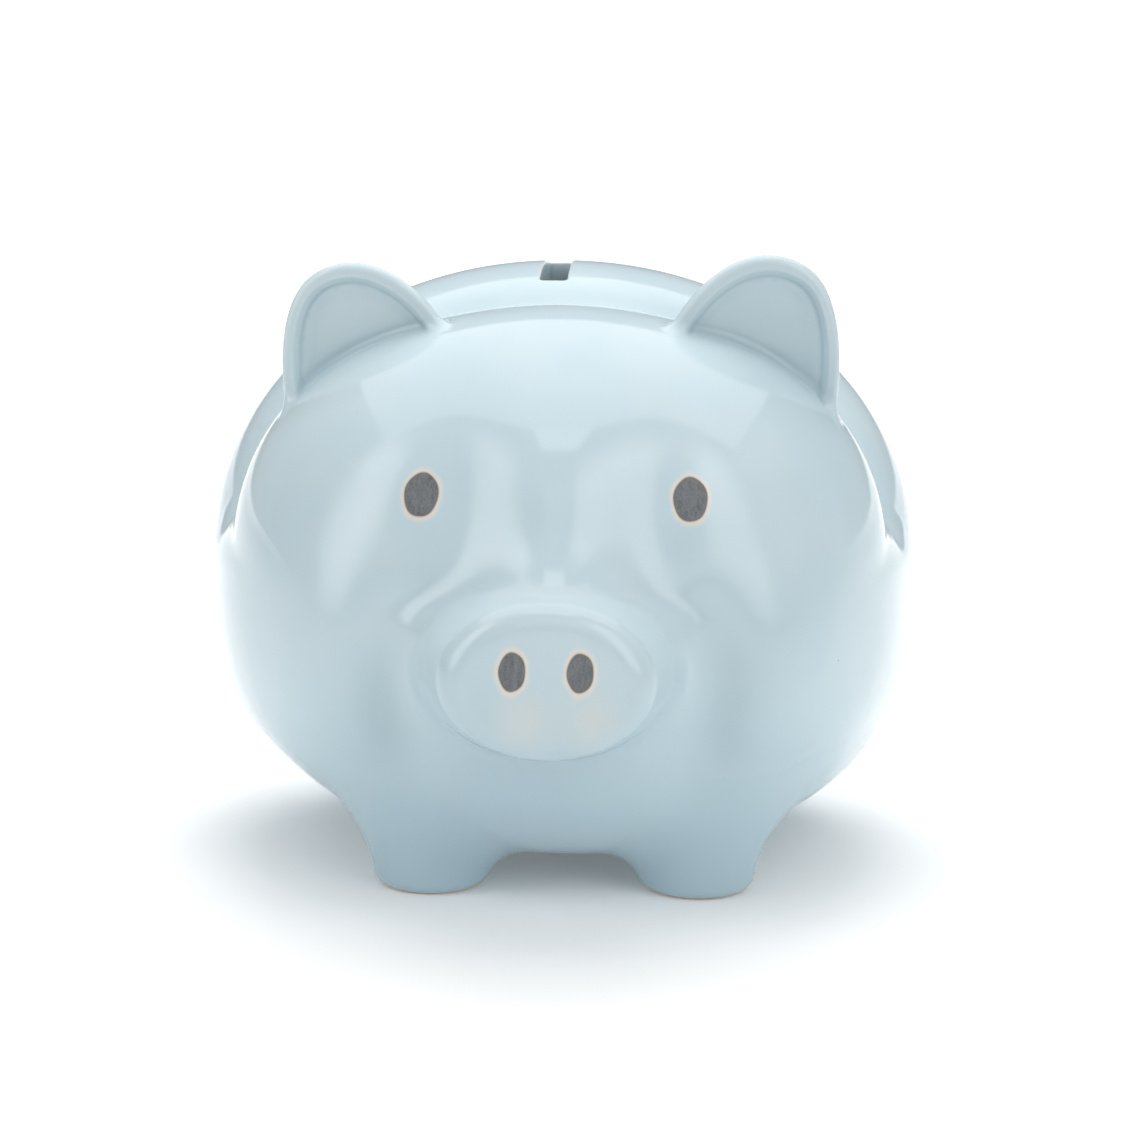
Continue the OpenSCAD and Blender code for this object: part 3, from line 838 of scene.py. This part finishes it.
# ---------------------------------------------------------------- materials
class Nodes:
    """Short hand for building a node tree."""

    def __init__(self, name):
        self.material = bpy.data.materials.new(name)
        self.material.use_nodes = True
        self.tree = self.material.node_tree
        self.shader = self.tree.nodes["Principled BSDF"]

    def add(self, kind, inputs=(), **settings):
        node = self.tree.nodes.new("ShaderNode" + kind)
        for key, value in settings.items():
            setattr(node, key, value)
        for key, value in dict(inputs).items():
            self.put(node.inputs[key], value)
        return node

    def put(self, socket, value):
        if isinstance(value, bpy.types.NodeSocket):
            self.tree.links.new(value, socket)
        else:
            socket.default_value = value

    def math(self, operation, a, b=0.0, c=0.0):
        return self.add("Math", {0: a, 1: b, 2: c}, operation=operation).outputs[0]

    def ramp(self, value, low, high, a=0.0, b=1.0):
        node = self.add("MapRange", {0: value, 1: low, 2: high, 3: a, 4: b}, interpolation_type="SMOOTHSTEP")
        return node.outputs[0]

    def mix(self, share, a, b):
        node = self.add("Mix", data_type="RGBA")
        for key, value in ((0, share), (6, a), (7, b)):
            self.put(node.inputs[key], value)
        return node.outputs[2]

    def place(self):
        return self.add("TexCoord").outputs["Object"]

    def noise(self, scale, detail=2.0, roughness=0.5, place=None):
        node = self.add("TexNoise", {"Vector": place or self.place(), "Scale": scale, "Detail": detail,
                                     "Roughness": roughness})
        return node.outputs[0]

    def value(self, name):
        return self.add("Attribute", attribute_name=name).outputs["Fac"]


class SkyNodes(Nodes):
    """The same for a world."""

    def __init__(self, world):
        self.tree = world.node_tree
        self.shader = self.tree.nodes["Background"]

    def place(self):
        return self.add("TexCoord").outputs["Generated"]


def colour(r, g, b):
    """An sRGB colour in 0 to 255, as the linear values that a shader wants."""
    c = np.array([r, g, b]) / 255
    linear = np.where(c <= 0.04045, c / 12.92, ((c + 0.055) / 1.055) ** 2.4)
    return (*linear, 1.0)


def specks(t, scale, radius, share):
    """Dots of a given radius, in metres, in a share of a jittered grid's cells."""
    cells = t.add("TexVoronoi", {"Vector": t.place(), "Scale": scale}, feature="F1")
    picked = t.math("LESS_THAN", t.add("SeparateColor", {0: cells.outputs["Color"]}).outputs[0], share)
    dot = t.ramp(cells.outputs["Distance"], radius * scale * 0.6, radius * scale, 1.0, 0.0)
    return t.math("MULTIPLY", dot, picked)


def glaze_material():
    """Pale blue gloss glaze: painted shade towards the bottom, deeper in hollows, thin and paler over edges,
    bare clay at the soles.
    """
    t = Nodes("pale_blue_glaze")
    broad, fine, depth = t.value("broad"), t.value("fine"), t.value("depth")
    cloud = t.noise(28, 3)
    base = t.mix(t.ramp(cloud, 0.35, 0.65), colour(191, 210, 218), colour(197, 215, 221))
    height = t.add("SeparateXYZ", {0: t.place()}).outputs[2]
    # painted shade: the glaze is darkened towards the bottom, most at the soles and fading out by 75 mm up
    base = t.mix(t.ramp(height, 0.008, 0.075, 0.72, 0.0), base, colour(162, 188, 200))
    base = t.mix(t.ramp(broad, 0.02, 0.35), base, colour(177, 198, 207))
    base = t.mix(t.ramp(fine, 0.03, 0.3), base, colour(164, 188, 198))
    base = t.mix(t.ramp(fine, -0.08, -0.4), base, colour(222, 231, 231))
    base = t.mix(t.math("MULTIPLY", t.value("warm"), 0.35), base, colour(222, 214, 200))
    base = t.mix(specks(t, 75, 0.00020, 0.08), base, colour(110, 118, 116))
    base = t.mix(specks(t, 31, 0.00032, 0.05), base, colour(168, 146, 112))
    paint = t.value("paint")
    uneven = t.math("ADD", paint, t.math("MULTIPLY", t.noise(500, 2), 0.9))
    base = t.mix(t.ramp(uneven, 0.5, 1.7, 0.75, 0.0), base, colour(229, 217, 203))
    base = t.mix(t.ramp(paint, 0.0, 0.3, 0.6, 0.0), base, colour(150, 138, 128))
    ragged = t.math("ADD", height, t.math("MULTIPLY", t.noise(220, 2), 0.0007))
    bare = t.ramp(ragged, 0.0006, 0.0009, 1.0, 0.0)
    inside = t.ramp(depth, 3.7, 4.3)
    bare = t.math("MAXIMUM", bare, inside)
    clay = t.mix(t.noise(400, 3), colour(184, 156, 124), colour(206, 184, 156))
    t.put(t.shader.inputs["Base Color"], t.mix(bare, base, clay))
    gloss = t.ramp(t.noise(60, 3), 0.3, 0.7, 0.07, 0.12)
    t.put(t.shader.inputs["Roughness"], t.add("Mix", {0: bare, 2: gloss, 3: 0.8}).outputs[0])
    t.shader.inputs["IOR"].default_value = 1.5
    waves, orange_peel = t.noise(45, 2), t.noise(420, 2)
    ripple = t.math("ADD", t.math("MULTIPLY", waves, 0.00025), t.math("MULTIPLY", orange_peel, 0.00001))
    relief = t.add("Bump", {"Strength": 0.35, "Distance": 1.0, "Height": ripple})
    t.put(t.shader.inputs["Normal"], relief.outputs[0])
    return t.material


def dark_material():
    """Matte grey-black underglaze colour, brushed on thinly and unevenly."""
    t = Nodes("dark_underglaze")
    stretched = t.add("Mapping", {0: t.place(), 3: (1.0, 1.0, 0.28)}).outputs[0]
    brushed = t.noise(1300, 3, 0.6, stretched)
    grain = t.noise(2600, 2)
    base = t.mix(t.ramp(brushed, 0.3, 0.7), colour(88, 93, 97), colour(112, 117, 120))
    base = t.mix(t.ramp(grain, 0.35, 0.75, 0.0, 0.5), base, colour(126, 130, 132))
    base = t.mix(t.ramp(t.value("paint"), -2.6, -1.0, 0.35, 0.0), base, colour(118, 122, 124))
    base = t.mix(t.ramp(t.value("paint"), -0.35, 0.0, 0.0, 0.7), base, colour(120, 104, 94))
    t.put(t.shader.inputs["Base Color"], base)
    t.put(t.shader.inputs["Roughness"], t.ramp(brushed, 0.2, 0.8, 0.42, 0.6))
    relief = t.add("Bump", {"Strength": 0.2, "Distance": 0.0001, "Height": brushed})
    t.put(t.shader.inputs["Normal"], relief.outputs[0])
    return t.material


def rubber_material():
    """Soft milky vinyl with a fine moulded grain, and painted shade in its hollows."""
    t = Nodes("milky_vinyl")
    grain = t.noise(1800, 2)
    base = t.mix(t.ramp(t.noise(120, 2), 0.3, 0.7), colour(186, 190, 190), colour(200, 203, 201))
    # painted shade: the vinyl is darkened in its hollows
    base = t.mix(t.ramp(t.value("fine"), 0.05, 0.4), base, colour(160, 165, 166))
    t.put(t.shader.inputs["Base Color"], base)
    t.put(t.shader.inputs["Roughness"], t.ramp(grain, 0.3, 0.7, 0.42, 0.55))
    t.shader.inputs["Subsurface Weight"].default_value = 0.25
    t.shader.inputs["Subsurface Radius"].default_value = (0.003, 0.003, 0.003)
    relief = t.add("Bump", {"Strength": 0.15, "Distance": 0.0001, "Height": grain})
    t.put(t.shader.inputs["Normal"], relief.outputs[0])
    return t.material


def floor_material():
    """White paper sweep that gives way to a pale grey floor in front, and glows as painted light."""
    t = Nodes("white_sweep_painted_glow")
    paper = t.mix(t.noise(3, 2), colour(250, 250, 250), colour(252, 252, 252))
    ahead = t.add("SeparateXYZ", {0: t.place()}).outputs[1]
    front = t.ramp(ahead, -0.65, -0.30, 1.0, 0.0)
    t.put(t.shader.inputs["Base Color"], t.mix(front, paper, colour(176, 180, 182)))
    # painted light: the paper glows, faintly near the pig, which lifts its shadow, and far more towards the
    # back, which whitens the far floor
    t.put(t.shader.inputs["Emission Color"], paper)
    t.put(t.shader.inputs["Emission Strength"], t.ramp(ahead, 0.25, 1.7, 0.10, 0.85))
    t.shader.inputs["Roughness"].default_value = 0.9
    t.shader.inputs["Specular IOR Level"].default_value = 0.1
    return t.material


# ---------------------------------------------------------------- stage, light and camera
VIEW_TURN, VIEW_RISE, VIEW_ROLL = math.radians(1.2), math.radians(12), math.radians(0.8)
VIEW_AIM = Vector((0, 0, 0.0588))
VIEW_DISTANCE = 0.8
VIEW_WIDTH = 0.2244                      # width that the picture spans at the pig's middle
SENSOR = 36.0


def place_camera():
    """A long lens a little above the pig, nearly square to its face."""
    data = bpy.data.cameras.new("camera")
    data.sensor_width = SENSOR
    data.lens = SENSOR * VIEW_DISTANCE / VIEW_WIDTH
    data.clip_start = 0.05
    camera = bpy.data.objects.new("camera", data)
    bpy.context.scene.collection.objects.link(camera)
    back = Vector((math.sin(VIEW_TURN) * math.cos(VIEW_RISE), -math.cos(VIEW_TURN) * math.cos(VIEW_RISE),
                   math.sin(VIEW_RISE)))
    turn = back.to_track_quat("Z", "Y").to_matrix().to_4x4() @ Matrix.Rotation(VIEW_ROLL, 4, "Z")
    camera.matrix_world = Matrix.Translation(VIEW_AIM + back * VIEW_DISTANCE) @ turn
    bpy.context.scene.camera = camera


SKY_FILL = 0.16
SKY = (                                  # turn, rise (low, high), blur of the edges in degrees, strength
    ((20, 112), (-10, 50), 12, 0.42),    # white wall on the right
    ((28, 58), (2, 56), 18, 1.9),         # right softbox
    ((-76, -48), (2, 54), 18, 2.6),       # left softbox
    ((-17, 19), (27, 52), 10, 0.6),       # white wall behind the camera
)
LAMPS = (                                # name, middle (x, y), size, radiance: all face down
    ("ceiling", (0.0, 0.30), (1.0, 0.95), 1.2),
    ("main_softbox", (0.0, 0.485), (0.54, 0.59), 3.0),
    ("front_strip", (0.01, -0.045), (0.29, 0.47), 1.95),
)
LAMP_HEIGHT = 0.66


def softbox(name, middle, size, radiance):
    data = bpy.data.lights.new(name, "AREA")
    data.shape = "RECTANGLE"
    data.size, data.size_y = size
    data.energy = radiance * math.pi * size[0] * size[1]
    lamp = bpy.data.objects.new(name, data)
    lamp.location = (*middle, LAMP_HEIGHT)
    bpy.context.scene.collection.objects.link(lamp)


def band(t, value, low, high, blur):
    """One between low and high degrees, fading out over blur degrees at either end."""
    low, high, half = math.radians(low), math.radians(high), math.radians(blur / 2)
    rise = t.ramp(value, low - half, low + half)
    return t.math("MULTIPLY", rise, t.ramp(value, high - half, high + half, 1.0, 0.0))


def panel(t, turn, rise, blur, strength):
    """A lit panel between two turns from the front and two rises above the floor, in degrees."""
    middle = math.radians(sum(turn) / 2)
    x, y, z = t.add("SeparateXYZ", {0: t.place()}).outputs
    side = t.math("ADD", t.math("MULTIPLY", x, math.cos(middle)), t.math("MULTIPLY", y, math.sin(middle)))
    ahead = t.math("SUBTRACT", t.math("MULTIPLY", x, math.sin(middle)),
                   t.math("MULTIPLY", y, math.cos(middle)))
    half = (turn[1] - turn[0]) / 2
    across = band(t, t.math("ARCTAN2", side, ahead), -half, half, blur)
    up = band(t, t.math("ARCSINE", z), *rise, blur)
    return t.math("MULTIPLY", t.math("MULTIPLY", across, up), strength)


def light_studio():
    """Large lamps overhead, and lit panels all round that the glaze reflects."""
    for lamp in LAMPS:
        softbox(*lamp)
    world = bpy.data.worlds.new("studio")
    world.use_nodes = True
    t = SkyNodes(world)
    total = t.math("ADD", 0.0, SKY_FILL)
    for patch in SKY:
        total = t.math("ADD", total, panel(t, *patch))
    t.put(t.shader.inputs["Color"], t.add("CombineColor", {0: 1.0, 1: 0.997, 2: 0.992}).outputs[0])
    t.put(t.shader.inputs["Strength"], total)
    bpy.context.scene.world = world
    bpy.context.scene.view_settings.view_transform = "Standard"


def lay_floor():
    """A white sweep under the soles."""
    mesh = bpy.data.meshes.new("floor")
    half = 6.0
    corners = [(-half, -half, 0), (half, -half, 0), (half, half, 0), (-half, half, 0)]
    mesh.from_pydata(corners, [], [(0, 1, 2, 3)])
    floor = bpy.data.objects.new("floor", mesh)
    floor.location.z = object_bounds()[0][2]
    mesh.materials.append(floor_material())
    bpy.context.scene.collection.objects.link(floor)


place_camera()
lay_floor()
light_studio()
build_ceramic(glaze_material(), dark_material())
build_stopper(rubber_material())
